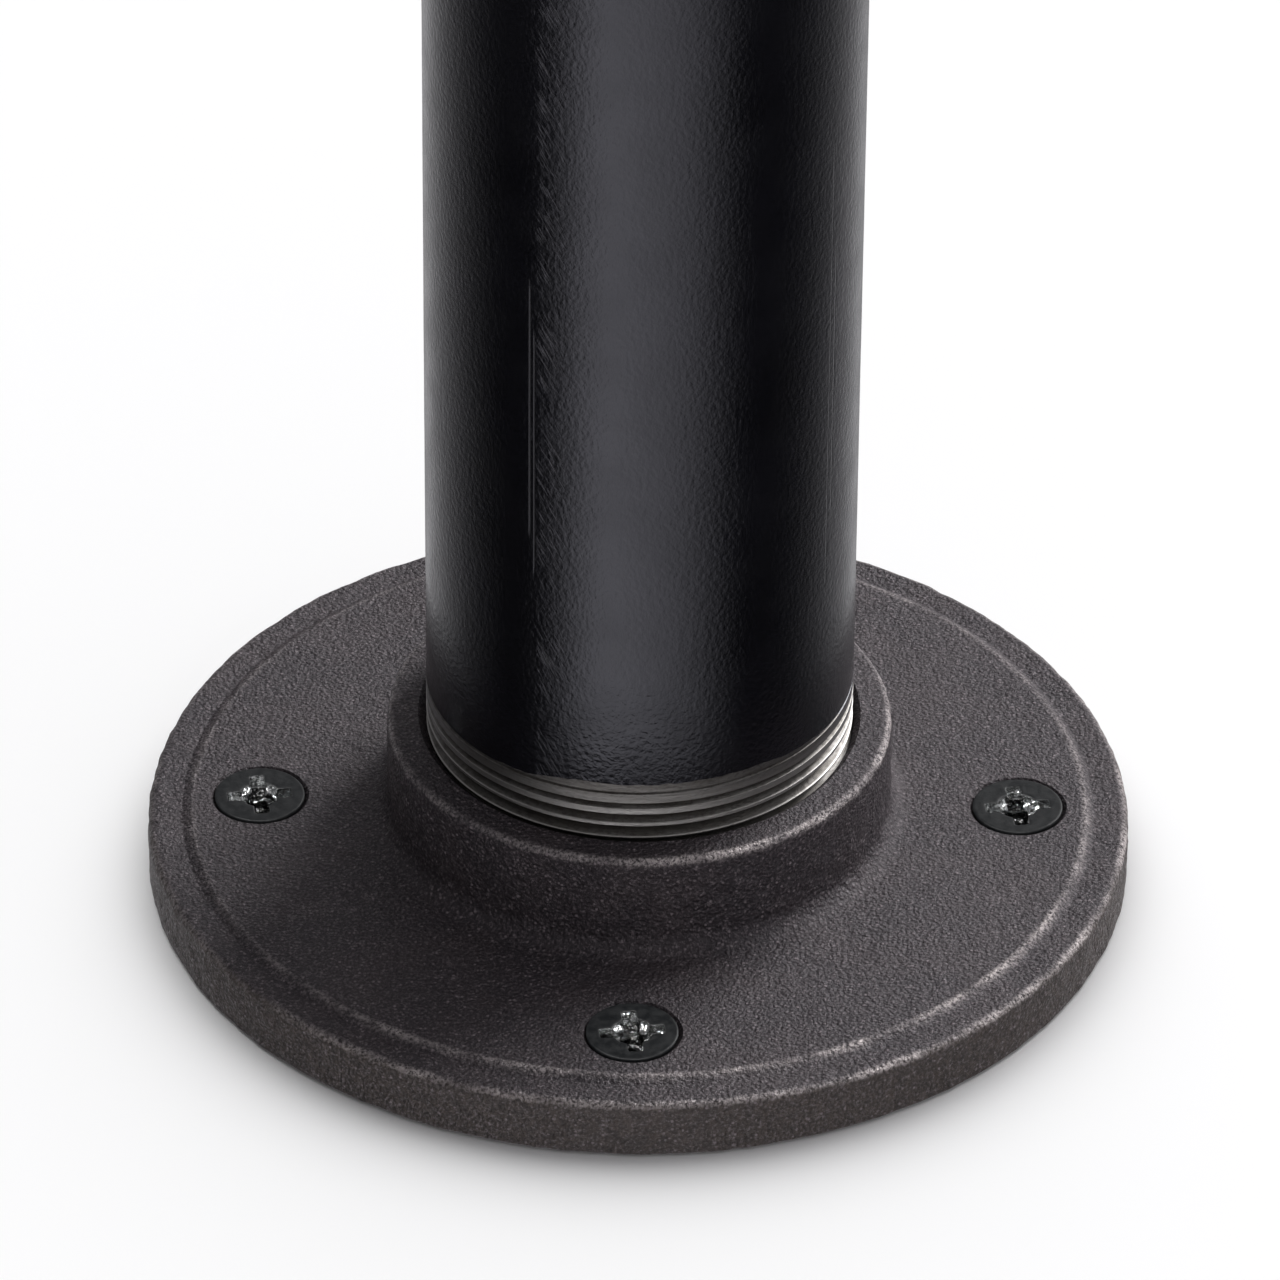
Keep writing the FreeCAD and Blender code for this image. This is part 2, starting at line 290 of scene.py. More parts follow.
def male_radius(along, angles):
    """Radius of the pipe's threaded end at a distance along from it."""
    share = angles / (2 * math.pi)
    turn = np.round((along - FULL_LENGTH) / PITCH - share) + share
    distance = np.abs(along - FULL_LENGTH - turn * PITCH)
    groove = groove_root(turn) + np.maximum(0, distance - THREAD_FLAT) / FLANK
    crest = np.minimum(THREAD_SMALL + TAPER * along, PIPE_RADIUS)
    bevel = THREAD_SMALL - END_BEVEL + along
    return np.minimum(np.minimum(groove, crest), bevel)


def female_radius(along, angles):
    """Radius of the tapped bore that a pipe's end sits in, at a distance along from that end."""
    share = angles / (2 * math.pi)
    turn = np.round((along - FULL_LENGTH) / PITCH - share - 0.5) + share + 0.5
    centre = FULL_LENGTH + turn * PITCH
    root = THREAD_SMALL + TAPER * centre + TAP_CLEARANCE
    groove = root - np.maximum(0, np.abs(along - centre) - THREAD_FLAT) / FLANK
    return np.maximum(groove, THREAD_SMALL + TAPER * along + TAP_CLEARANCE - TAP_DEPTH)


def thread_rows(low, high, angles, male):
    """Rows that climb with a thread, gathered at each turn's corners and held between low and high."""
    first = math.floor((low - FULL_LENGTH) / PITCH) - 2
    last = math.ceil((high - FULL_LENGTH) / PITCH) + 1
    rows = []
    for whole in range(first, last):
        turn = whole + angles / (2 * math.pi) + (0 if male else 0.5)
        centre = FULL_LENGTH + turn * PITCH
        lip = groove_half_width(turn) if male else THREAD_FLAT + TAP_DEPTH * FLANK + 0 * turn
        next_lip = groove_half_width(turn + 1) if male else lip
        rows += [centre - THREAD_FLAT, centre + THREAD_FLAT, centre + lip, centre + PITCH - next_lip]
        if male:
            rows += [centre + (THREAD_FLAT + lip) / 2, centre + PITCH - (THREAD_FLAT + next_lip) / 2]
    return np.sort(np.clip(np.array(rows), low, high), axis=0)


def threaded_patch(radius_of, low, high, angles, male):
    along = thread_rows(low, high, angles, male)
    radius = radius_of(along, np.broadcast_to(angles, along.shape))
    return np.stack([radius * np.cos(angles), radius * np.sin(angles), along], axis=-1)


# The pipe: two threaded ends, a plain length with slight waves, the end faces and the bore with its weld

PIPE_COLUMNS = 288
PLAIN_ROWS = 96
BORE_ROWS = 24
RUN_OUT = FULL_LENGTH + FADE_LENGTH + 0.6
WELD_SIDE = 118 * DEG
WELD_WIDTH = 1.6
WELD_HEIGHT = 0.8
WAVE_FADE = 6
WAVE_SINK = 0.02
# Height of the ragged lower edge of the lacquer at some angles in degrees round the pipe, 0 at the front
LACQUER_SIDES = (-180, -66, -45, -30, -16, 34, 41, 64, 80, 180)
LACQUER_EDGES = (32.6, 32.4, 32.8, 33.1, 34.3, 34.3, 34.0, 33.5, 32.4, 32.6)


def bore_radius(angles):
    """The pipe's bore, with the bead that its seam weld left inside."""
    away = (angles - WELD_SIDE + math.pi) % (2 * math.pi) - math.pi
    return PIPE_BORE - WELD_HEIGHT * np.exp(-(away * PIPE_BORE / WELD_WIDTH) ** 2)


def pipe_end(angles, side):
    """End face and thread of one end, measured from that end; side is -1 for the end that is turned over."""
    inner, outer = bore_radius(angles * side), male_radius(0 * angles, angles)
    face = np.stack([ring(inner, 0, angles), ring(outer, 0, angles)])
    return face, threaded_patch(male_radius, 0, RUN_OUT, angles, True)


def plain_length(angles):
    """The outside between the threads, a little wavy as drawn pipe is."""
    heights = np.linspace(PIPE_FOOT + RUN_OUT, PIPE_TOP - RUN_OUT, PLAIN_ROWS)
    plain = np.stack([ring(PIPE_RADIUS, height, angles) for height in heights])
    fade = smoothstep(0, WAVE_FADE, heights - heights[0]) * smoothstep(0, WAVE_FADE, heights[-1] - heights)
    waves = 0.035 * noise(plain * np.array([1, 1, 0.4]), 17, 1) + 0.012 * noise(plain, 6, 2)
    plain[..., :2] *= 1 + (waves * fade[:, None] - WAVE_SINK * fade[:, None])[..., None] / PIPE_RADIUS
    return plain


def make_pipe():
    angles = ring_angles(PIPE_COLUMNS)
    lower = [dropped(patch, PIPE_FOOT) for patch in pipe_end(angles, 1)]
    upper = [turned_over(patch, PIPE_TOP) for patch in pipe_end(angles, -1)]
    heights = np.linspace(PIPE_TOP, PIPE_FOOT, BORE_ROWS)
    bore = np.stack([ring(bore_radius(angles), height, angles) for height in heights])
    mesh = joined_mesh("post_pipe_form", lower + [plain_length(angles), bore] + upper)
    points = read_points(mesh)
    radius = np.hypot(points[:, 0], points[:, 1])
    azimuth = np.arctan2(points[:, 0], -points[:, 1]) / DEG
    edge = np.interp(azimuth, LACQUER_SIDES, LACQUER_EDGES)
    write_mask(mesh, "above_lacquer_edge", points[:, 2] - edge)
    write_mask(mesh, "depth", THREAD_SMALL + TAPER * (points[:, 2] - PIPE_FOOT) - radius)
    return new_piece("pipe_with_threads", mesh)


# The castings: floor flange and end cap

FLANGE_COLUMNS = 556
CAP_COLUMNS = 384
CASTING_STEP = 0.62
HIDDEN_STEP = 2.5
RIM_TOP = 9.25
FACE_TOP = 9.7
FACE_RADIUS = 64.2
HUB_RADIUS = 35.85
BORE_FOOT_RADIUS = 29.946
ENGAGEMENT = 17.8  # length of pipe inside each casting's threads
UNDER_BEVEL = 0.6
SCREW_RING = 53.975
SINK_RADIUS = 7.0
SINK_DEPTH = 4.142
HOLE_RADIUS = 3.4
CAP_RADIUS = 34.9
CAP_BAND_HEIGHT = 10.7
CAP_CROWN_WALL = 5.0
CAP_CAVITY_RADIUS = 30.6
CAP_THREAD_LENGTH = 20.0

# The sand-cast skin: layers of lumps and of grain, and how far the whole skin sinks to stay in size
FLANGE_LUMPS = ((0.10, 13, 3), (0.06, 5, 4))
FLANGE_GRAIN = ((0.07, 1.8, 5), (0.05, 1.1, 6))
FLANGE_SINK = 0.12
WALL_GRAIN = 0.9  # this much more grain on upright walls of the flange
CAP_LUMPS = ((0.12, 13, 7), (0.06, 5, 8))
CAP_GRAIN = ((0.05, 1.7, 9),)
CAP_SINK = 0.1
SLIVER = 0.004

# Edges worn to metal, painted brightest towards the front right, where this also stands in for the edge
# highlight
WEAR_AND_HIGHLIGHT_SIDE = -35 * DEG
LEAST_WEAR_AND_HIGHLIGHT = 0.3
FLANGE_WEAR_AND_HIGHLIGHT_REACH = 0.95
CAP_WEAR_AND_HIGHLIGHT_REACH = 1.1


def tapped(low, foot_bevel, angles):
    """Tapped bore from low to its bevelled mouth, measured from the pipe's end and facing inwards."""
    def radius_of(along, angles):
        mouth = MOUTH_RADIUS - ENGAGEMENT + along
        foot = foot_bevel - (along - low)
        return np.maximum(np.maximum(female_radius(along, angles), mouth), foot)
    return inward(threaded_patch(radius_of, low, ENGAGEMENT, angles, False))


def worn_and_highlit(points, corners, reach):
    """How near each point is to an edge that wear has polished, from 0 to 1, weighted towards the front
    right as a painted highlight.
    """
    radius = np.hypot(points[:, 0], points[:, 1])
    nearest = np.min([np.hypot(radius - r, points[:, 2] - z) for r, z in corners], axis=0)
    # Painted highlight: more wear towards the front right, where the edge highlight falls
    towards = np.cos(np.arctan2(points[:, 1], points[:, 0]) - WEAR_AND_HIGHLIGHT_SIDE)
    share = smoothstep(-0.2, 0.9, towards + 0.35 * noise(points, 30, 10))
    share = LEAST_WEAR_AND_HIGHLIGHT + (1 - LEAST_WEAR_AND_HIGHLIGHT) * share
    return (1 - smoothstep(0.3 * reach, reach, nearest)) * share


def roughen(mesh, skin, lumps, grain, wall_grain, sink):
    """Give a casting its uneven sand-cast skin; skin says how much of it each point takes, from 0 to 1."""
    points, normals = read_points(mesh), read_normals(mesh)
    grit = layered_noise(points, grain) * (1 + wall_grain * (1 - np.abs(normals[:, 2])))
    move = (layered_noise(points, lumps) + grit - sink) * skin
    write_points(mesh, points + normals * move[:, None])


def flatten_foot(mesh):
    """Press whatever the rough skin pushed below the deck back up to it."""
    points = read_points(mesh)
    points[:, 2] = np.maximum(points[:, 2], 0)
    write_points(mesh, points)


def hole_cutter(angle):
    """A countersunk hole's shape, from under the flange to over it."""
    angles = ring_angles(96)
    lip = SINK_RADIUS + 0.25
    line = [(0, -2), (HOLE_RADIUS, -2), (HOLE_RADIUS, FACE_TOP - SINK_DEPTH), (SINK_RADIUS, FACE_TOP - 0.12),
            (lip, FACE_TOP + 0.3), (lip, FACE_TOP + 2), (0, FACE_TOP + 2)]
    patch = turned_patch(np.array(line, float), angles)
    middle = np.array([SCREW_RING * math.cos(angle), SCREW_RING * math.sin(angle), 0])
    return new_piece("hole_cutter", joined_mesh("hole_cutter", [patch + middle]))


def without_slivers(mesh):
    """Merge the points that a cut has left closer together than a mesh needs."""
    form = bmesh.new()
    form.from_mesh(mesh)
    bmesh.ops.remove_doubles(form, verts=form.verts, dist=SLIVER * MM)
    bmesh.ops.dissolve_degenerate(form, edges=form.edges, dist=SLIVER * MM)
    bmesh.ops.triangulate(form, faces=[face for face in form.faces if len(face.verts) > 4])
    form.to_mesh(mesh)
    form.free()


def flange_form(angles):
    """The flange as cast and tapped, before its holes."""
    bore = dropped(tapped(-PIPE_FOOT, BORE_FOOT_RADIUS, angles), PIPE_FOOT)
    under = rounded([(BORE_FOOT_RADIUS, 0, 0), (FLANGE_RADIUS - UNDER_BEVEL, 0, 0)], 5)
    skin = rounded([
        (FLANGE_RADIUS - UNDER_BEVEL, 0, 0),
        (FLANGE_RADIUS, UNDER_BEVEL, 0),
        (FLANGE_RADIUS, RIM_TOP, 1.4),
        (FACE_RADIUS + 0.75, RIM_TOP - 0.3, 0.5),
        (FACE_RADIUS - 0.55, FACE_TOP, 0.55),
        (HUB_RADIUS, FACE_TOP, 3.0),
        (HUB_RADIUS, HUB_TOP, 1.1),
        (MOUTH_RADIUS, HUB_TOP, 0),
    ], CASTING_STEP)
    return joined_mesh("floor_flange_form", [turned_patch(under, angles), turned_patch(skin, angles), bore])


def make_flange():
    mesh = flange_form(ring_angles(FLANGE_COLUMNS))
    points = read_points(mesh)
    skin = smoothstep(MOUTH_RADIUS + 0.1, MOUTH_RADIUS + 1.6, np.hypot(points[:, 0], points[:, 1]))
    roughen(mesh, skin, FLANGE_LUMPS, FLANGE_GRAIN, WALL_GRAIN, FLANGE_SINK)
    flatten_foot(mesh)
    piece = new_piece("flange_casting", mesh)
    for quarter in range(4):
        cut_out(piece, hole_cutter(quarter * 90 * DEG))
    without_slivers(piece.data)
    points = read_points(piece.data)
    corners = [
        (FLANGE_RADIUS - 0.42, RIM_TOP - 0.42),
        (FACE_RADIUS - 0.4, FACE_TOP),
        (HUB_RADIUS - 0.35, HUB_TOP - 0.35),
    ]
    side_wall = smoothstep(FLANGE_RADIUS - 0.9, FLANGE_RADIUS - 0.3, np.hypot(points[:, 0], points[:, 1]))
    write_mask(piece.data, "worn_and_highlit", worn_and_highlit(points, corners, FLANGE_WEAR_AND_HIGHLIGHT_REACH))
    write_mask(piece.data, "side_wall", side_wall)
    return piece


def cap_form(angles):
    """The cap as cast and tapped, with the hollow above its thread."""
    thread_top = CAP_FOOT + CAP_THREAD_LENGTH
    cavity_top = CAP_TOP - CAP_CROWN_WALL
    band_top = CAP_FOOT + CAP_BAND_HEIGHT
    bore = tapped(PIPE_TOP - thread_top, 0, angles)
    ledge = np.stack([ring(np.hypot(bore[-1, :, 0], bore[-1, :, 1]), PIPE_TOP - thread_top, angles),
                      ring(CAP_CAVITY_RADIUS, PIPE_TOP - thread_top, angles)])
    skin = rounded([
        (MOUTH_RADIUS, CAP_FOOT, 0),
        (CAP_BAND_RADIUS, CAP_FOOT, 1.2),
        (CAP_BAND_RADIUS, band_top, 1.4),
        (CAP_RADIUS, band_top, 1.2),
        (CAP_RADIUS, CAP_TOP, 13.0),
        (0, CAP_TOP, 0),
    ], CASTING_STEP)
    cavity = rounded([
        (0, cavity_top, 0),
        (CAP_CAVITY_RADIUS, cavity_top, 8.0),
        (CAP_CAVITY_RADIUS, thread_top, 0),
    ], HIDDEN_STEP)
    patches = [turned_patch(skin, angles), turned_patch(cavity, angles)]
    patches += [turned_over(inward(ledge), PIPE_TOP), turned_over(bore, PIPE_TOP)]
    return joined_mesh("end_cap_form", patches)


def make_cap():
    mesh = cap_form(ring_angles(CAP_COLUMNS))
    points = read_points(mesh)
    radius = np.hypot(points[:, 0], points[:, 1])
    inside = (points[:, 2] < CAP_TOP - CAP_CROWN_WALL + 0.5) & (radius < MOUTH_RADIUS + 0.2)
    roughen(mesh, np.where(inside, 0, 1), CAP_LUMPS, CAP_GRAIN, 0, CAP_SINK)
    points = read_points(mesh)
    corners = [
        (CAP_BAND_RADIUS - 0.4, CAP_FOOT + 0.4),
        (CAP_BAND_RADIUS - 0.4, CAP_FOOT + CAP_BAND_HEIGHT - 0.4),
    ]
    write_mask(mesh, "worn_and_highlit", worn_and_highlit(points, corners, CAP_WEAR_AND_HIGHLIGHT_REACH))
    write_mask(mesh, "side_wall", 0 * points[:, 0])
    return new_piece("cap_casting", mesh)


# The deck screws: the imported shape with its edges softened, as a thick black finish leaves them,
# and its driver recess opened out and pitted

SCREW_GRAIN = 0.15
RECESS_REACH = 4.7
RECESS_DEPTH = 3.7
CONE_RADIUS = 2.9
CONE_DEPTH = 3.2
WELD_REACH = 0.002
PIT_LAYERS = ((0.42, 1.1, 11), (0.16, 0.55, 12))
PIT_SINK = 0.5


def recess_cone(middle, top):
    """The worn-out cone between the four arms of a driver recess."""
    line = [(0, top - CONE_DEPTH), (CONE_RADIUS, top), (CONE_RADIUS, top + 1), (0, top + 1)]
    patch = turned_patch(np.array(line, float), ring_angles(48))
    return new_piece("recess_cone", joined_mesh("recess_cone", [patch + [middle[0], middle[1], 0]]))


def soften(piece):
    voxels = piece.modifiers.new("even_skin", "REMESH")
    voxels.mode = "VOXEL"
    voxels.voxel_size = SCREW_GRAIN * MM
    soft = piece.modifiers.new("soft_edges", "SMOOTH")
    soft.factor = 0.5
    soft.iterations = 4
    apply_modifiers(piece)


def pit_recess(mesh, middle, top):
    """Pit the walls of a screw's recess, and mark it, and its depths where the finish paints shade."""
    points, normals = read_points(mesh), read_normals(mesh)
    reach = np.hypot(points[:, 0] - middle[0], points[:, 1] - middle[1])
    below = top - points[:, 2]
    recess = smoothstep(0.06, 0.22, below) * (1 - smoothstep(RECESS_REACH, RECESS_REACH + 0.3, reach))
    recess = recess * (below < RECESS_DEPTH)
    pits = layered_noise(points, PIT_LAYERS) - PIT_SINK
    write_points(mesh, points + normals * (pits * recess)[:, None])
    write_mask(mesh, "recess", recess)
    # The deep mask carries painted shade for the bottom of the recess
    write_mask(mesh, "deep", smoothstep(1.3, 2.6, below) * recess)


def make_screw(side):
    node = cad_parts["deck_screw_" + side]
    screw = new_piece("screw_" + side, node.data.copy())
    low, high = span("deck_screw_" + side)
    middle = (low + high) / 2
    weld = screw.modifiers.new("weld", "WELD")
    weld.merge_threshold = WELD_REACH * MM
    cut_out(screw, recess_cone(middle, high[2]))
    soften(screw)
    pit_recess(screw.data, middle, high[2])
    return screw


# Materials

SOCKETS = {"base_color": "Base Color", "roughness": "Roughness", "metallic": "Metallic", "normal": "Normal",
           "specular": "Specular IOR Level", "tint": "Specular Tint"}
MIX_SOCKETS = {"FLOAT": (2, 3, 0), "VECTOR": (4, 5, 1), "RGBA": (6, 7, 2)}


class Nodes:
    """Short ways to add nodes to a node tree."""

    def __init__(self, tree):
        self.tree = tree

    def put(self, value, socket):
        """Feed a socket with a number, a colour or another node's output."""
        if isinstance(value, bpy.types.NodeSocket):
            self.tree.links.new(value, socket)
        elif isinstance(value, tuple) and len(value) == 3 and socket.type == "RGBA":
            socket.default_value = (*value, 1)
        else:
            socket.default_value = value

    def math(self, operation, *values):
        node = self.tree.nodes.new("ShaderNodeMath")
        node.operation = operation
        for value, socket in zip(values, node.inputs):
            self.put(value, socket)
        return node.outputs[0]

    def ramp(self, value, low, high, start=0.0, end=1.0):
        """Turn a value from low to high smoothly into one from start to end."""
        node = self.tree.nodes.new("ShaderNodeMapRange")
        node.interpolation_type = "SMOOTHSTEP"
        for part, socket in zip((value, low, high, start, end), node.inputs):
            self.put(part, socket)
        return node.outputs[0]

    def mixed(self, kind, factor, first, second):
        node = self.tree.nodes.new("ShaderNodeMix")
        node.data_type = kind
        first_input, second_input, output = MIX_SOCKETS[kind]
        self.put(factor, node.inputs[0])
        self.put(first, node.inputs[first_input])
        self.put(second, node.inputs[second_input])
        return node.outputs[output]

    def mix(self, factor, first, second):
        return self.mixed("RGBA", factor, first, second)

    def blend(self, factor, first, second):
        return self.mixed("FLOAT", factor, first, second)

    def split(self, vector):
        node = self.tree.nodes.new("ShaderNodeSeparateXYZ")
        self.put(vector, node.inputs[0])
        return node.outputs


class Finish(Nodes):
    """A material's node tree, whose patterns lie in the object's own coordinates."""

    def __init__(self, name):
        self.material = bpy.data.materials.new(name)
        self.material.use_nodes = True
        super().__init__(self.material.node_tree)
        self.shader = self.tree.nodes["Principled BSDF"]
        self.place = self.tree.nodes.new("ShaderNodeTexCoord").outputs["Object"]

    def scaled(self, vector, scale, turn=(0, 0, 0)):
        node = self.tree.nodes.new("ShaderNodeMapping")
        self.put(vector, node.inputs["Vector"])
        self.put(scale, node.inputs["Scale"])
        self.put(turn, node.inputs["Rotation"])
        return node.outputs[0]

    def noise(self, size, detail=2, stretch=(1, 1, 1), vector=None, roughness=0.5):
        node = self.tree.nodes.new("ShaderNodeTexNoise")
        scale = tuple(1 / (size * MM * part) for part in stretch)
        self.put(self.scaled(vector or self.place, scale), node.inputs["Vector"])
        self.put(1.0, node.inputs["Scale"])
        self.put(detail, node.inputs["Detail"])
        self.put(roughness, node.inputs["Roughness"])
        return node.outputs["Fac"]

    def cells(self, size):
        node = self.tree.nodes.new("ShaderNodeTexVoronoi")
        self.put(self.scaled(self.place, (1 / (size * MM),) * 3), node.inputs["Vector"])
        self.put(1.0, node.inputs["Scale"])
        return node.outputs["Distance"], node.outputs["Color"]

    def mask(self, name):
        node = self.tree.nodes.new("ShaderNodeAttribute")
        node.attribute_name = name
        return node.outputs["Fac"]

    def unrolled(self, radius):
        """Distance round a pipe from its front, and height, as a flat vector in metres."""
        x, y, z = self.split(self.place)
        around = self.math("MULTIPLY", self.math("ARCTAN2", x, self.math("MULTIPLY", y, -1.0)), radius * MM)
        node = self.tree.nodes.new("ShaderNodeCombineXYZ")
        self.put(around, node.inputs[0])
        self.put(z, node.inputs[1])
        return node.outputs[0], around, z

    def bump(self, height, depth):
        node = self.tree.nodes.new("ShaderNodeBump")
        self.put(1.0, node.inputs["Strength"])
        self.put(depth * MM, node.inputs["Distance"])
        self.put(height, node.inputs["Height"])
        return node.outputs[0]

    def surface(self, **values):
        for name, value in values.items():
            self.put(value, self.shader.inputs[SOCKETS[name]])
        return self.material


# Cast iron

IRON_DARK = (0.017, 0.0125, 0.016)
IRON_LIGHT = (0.031, 0.0225, 0.025)
RIM_DARK = (0.036, 0.028, 0.021)
RIM_LIGHT = (0.062, 0.046, 0.035)
GRAIN_LIGHT = (0.17, 0.142, 0.152)
GRAIN_DARK = (0.008, 0.007, 0.008)
# Painted glints: bright specks put into the iron's colour as its sparkle
PAINTED_GLINT_SPECK = (0.25, 0.21, 0.225)
# Worn bare metal, partly a painted highlight where the wear is weighted towards the front right
WORN_IRON_AND_HIGHLIGHT = (0.62, 0.56, 0.55)
FINE_GRAIN = 0.46
COARSE_GRAIN = 1.1
PEBBLE = 0.62


def streak_pattern(paint):
    """Fine upright marks round a rim, as a grinding belt leaves, fading in and out along it."""
    flat = paint.unrolled(FLANGE_RADIUS)[0]
    marks = paint.noise(1.0, 3, (0.55, 9, 1), flat)
    return paint.math("MULTIPLY", marks, paint.ramp(paint.noise(30, 1), 0.45, 0.6))


def iron_tone(paint, fine, coarse, side):
    """Patchy near-black iron, browner on the rim, with lighter and darker grains."""
    patches = paint.ramp(paint.noise(11, 3), 0.35, 0.7)
    tone = paint.mix(patches, IRON_DARK, IRON_LIGHT)
    tone = paint.mix(side, tone, paint.mix(paint.ramp(coarse, 0.4, 0.65), RIM_DARK, RIM_LIGHT))
    tone = paint.mix(paint.ramp(fine, 0.5, 0.7, 0.0, 0.9), tone, GRAIN_LIGHT)
    return paint.mix(paint.ramp(fine, 0.46, 0.3, 0.0, 0.7), tone, GRAIN_DARK)


def casting_finish(name):
    """Black-brown sand-cast iron: grain with painted glint specks, a browner ground rim, and edges worn to
    metal, with the wear painted strongest towards the front right as a painted highlight.
    """
    paint = Finish(name)
    fine = paint.noise(FINE_GRAIN, 3, roughness=0.75)
    coarse = paint.noise(COARSE_GRAIN, 3, roughness=0.7)
    pebbles, shade = paint.cells(PEBBLE)
    side = paint.mask("side_wall")
    tone = iron_tone(paint, fine, coarse, side)
    wear_and_highlight = paint.math("MULTIPLY", paint.mask("worn_and_highlit"), paint.ramp(paint.noise(7, 3), 0.36, 0.62, 0.25, 1.0))
    wear_and_highlight = paint.math("MULTIPLY", wear_and_highlight, paint.ramp(fine, 0.36, 0.58))
    # Partly painted highlight: the worn-metal colour is strongest on the front-right edges
    tone = paint.mix(wear_and_highlight, tone, WORN_IRON_AND_HIGHLIGHT)
    rough = paint.blend(wear_and_highlight, paint.ramp(fine, 0.35, 0.7, 0.6, 0.3), 0.36)
    # Painted glints: bright specks mixed into the colour as the sparkle of the grain
    painted_glint_specks = paint.math("MULTIPLY", paint.ramp(shade, 0.72, 0.8), paint.ramp(pebbles, 0.25, 0.42, 1.0, 0.0))
    tone = paint.mix(paint.math("MULTIPLY", painted_glint_specks, 0.75), tone, PAINTED_GLINT_SPECK)
    height = paint.math("ADD", paint.math("MULTIPLY", fine, 0.34), paint.math("MULTIPLY", coarse, 0.36))
    height = paint.math("SUBTRACT", height, paint.math("MULTIPLY", pebbles, 0.2))
    streaks = paint.math("MULTIPLY", streak_pattern(paint), side)
    height = paint.math("ADD", height, paint.math("MULTIPLY", streaks, 0.35))
    return paint.surface(base_color=tone, roughness=rough, metallic=paint.math("MULTIPLY", wear_and_highlight, 0.45),
                         normal=paint.bump(height, 1.0), specular=0.82, tint=(1.0, 0.94, 0.985))


# Lacquered pipe

LACQUER_DARK = (0.0020, 0.0020, 0.0034)
LACQUER_LIGHT = (0.0036, 0.0036, 0.0056)
RUBBED = (0.045, 0.044, 0.046)
STEEL_DARK = (0.14, 0.131, 0.12)
STEEL_LIGHT = (0.24, 0.231, 0.222)
STEEL_TORN = (0.05, 0.045, 0.04)
# Painted light on the bare thread: a painted highlight for the groove lips and painted shade for the groove
# roots
STEEL_LIP_PAINTED_HIGHLIGHT = (0.85, 0.83, 0.80)
STEEL_ROOT_PAINTED_SHADE = (0.15, 0.138, 0.12)
UPPER_EDGE = 26  # the lacquer ends this far below the pipe's top
SCUFF_PLACE = -12.4
SCUFF_SLANT = -32 * DEG
# Distance round from the front, half width, lowest and highest point of each scratch
SCRATCHES = ((-15.6, 0.15, 76, 112), (-14.9, 0.13, 70, 104), (31.9, 0.18, 70, 112), (30.8, 0.15, 62, 128))
SCRATCH_FADE = 4


def scratch_line(paint, around, z, place, width, low, high):
    """A straight upright scratch at a distance round from the front, between two heights."""
    away = paint.math("ABSOLUTE", paint.math("SUBTRACT", around, place * MM))
    across = paint.ramp(away, 0.3 * width * MM, width * MM, 1.0, 0.0)
    foot = paint.ramp(z, (low - SCRATCH_FADE) * MM, low * MM)
    head = paint.ramp(z, high * MM, (high + SCRATCH_FADE) * MM, 1.0, 0.0)
    return paint.math("MULTIPLY", across, paint.math("MULTIPLY", foot, head))


def scratches(paint, around, z):
    lines = 0.0
    for scratch in SCRATCHES:
        lines = paint.math("MAXIMUM", lines, scratch_line(paint, around, z, *scratch))
    return paint.math("MULTIPLY", lines, paint.ramp(paint.noise(9, 2), 0.3, 0.6, 0.5, 1.0))


def scuffs(paint, flat, around):
    """Short slanting scratches packed in an upright band, where the pipe has rubbed against others."""
    turned = paint.scaled(flat, (1, 1, 1), (0, 0, SCUFF_SLANT))
    marks = paint.ramp(paint.noise(1.0, 2, (0.35, 5.5, 1), turned, 0.6), 0.54, 0.66)
    away = paint.math("ABSOLUTE", paint.math("SUBTRACT", around, SCUFF_PLACE * MM))
    band = paint.ramp(away, 0.8 * MM, 2.6 * MM, 1.0, 0.0)
    patchy = paint.ramp(paint.noise(14, 1), 0.35, 0.6)
    return paint.math("MULTIPLY", paint.math("MULTIPLY", marks, band), patchy)


def bare_steel(paint):
    """Colour and normal of the cut thread: turned and torn metal, with a painted highlight along each
    groove's lips and painted shade towards each groove's root.
    """
    turning = paint.noise(0.45, 3, (16, 16, 1), roughness=0.65)
    tears = paint.ramp(paint.noise(0.9, 3, (1, 1, 0.45), roughness=0.7), 0.42, 0.68)
    tone = paint.mix(paint.ramp(turning, 0.3, 0.7), STEEL_DARK, STEEL_LIGHT)
    tone = paint.mix(paint.math("MULTIPLY", tears, 0.45), tone, STEEL_TORN)
    depth = paint.mask("depth")
    # Painted highlight: the steel is made lighter along each groove's lips
    lip = paint.math("MULTIPLY", paint.ramp(depth, 0.01, 0.05), paint.ramp(depth, 0.08, 0.3, 1.0, 0.0))
    tone = paint.mix(paint.math("MULTIPLY", lip, 0.6), tone, STEEL_LIP_PAINTED_HIGHLIGHT)
    # Painted shade: the steel is made darker towards each groove's root
    tone = paint.mix(paint.ramp(depth, 0.35, 1.2, 0.0, 0.5), tone, STEEL_ROOT_PAINTED_SHADE)
    return tone, paint.bump(paint.math("ADD", turning, paint.math("MULTIPLY", tears, 0.6)), 0.035)


def lacquer(paint, marks):
    """Colour and normal of black lacquer with orange peel, and the marks rubbed into it."""
    tone = paint.mix(paint.ramp(paint.noise(16, 3), 0.35, 0.7), LACQUER_DARK, LACQUER_LIGHT)
    tone = paint.mix(paint.math("MULTIPLY", marks, 0.7), tone, RUBBED)
    peel = paint.noise(0.66, 2, (1, 1, 1.2))
    dimple = paint.noise(2.8, 2, (1, 1, 1.5))
    height = paint.math("ADD", paint.math("MULTIPLY", peel, 0.75), paint.math("MULTIPLY", dimple, 0.12))
    height = paint.math("SUBTRACT", height, paint.math("MULTIPLY", marks, 0.6))
    return tone, paint.bump(height, 0.11)


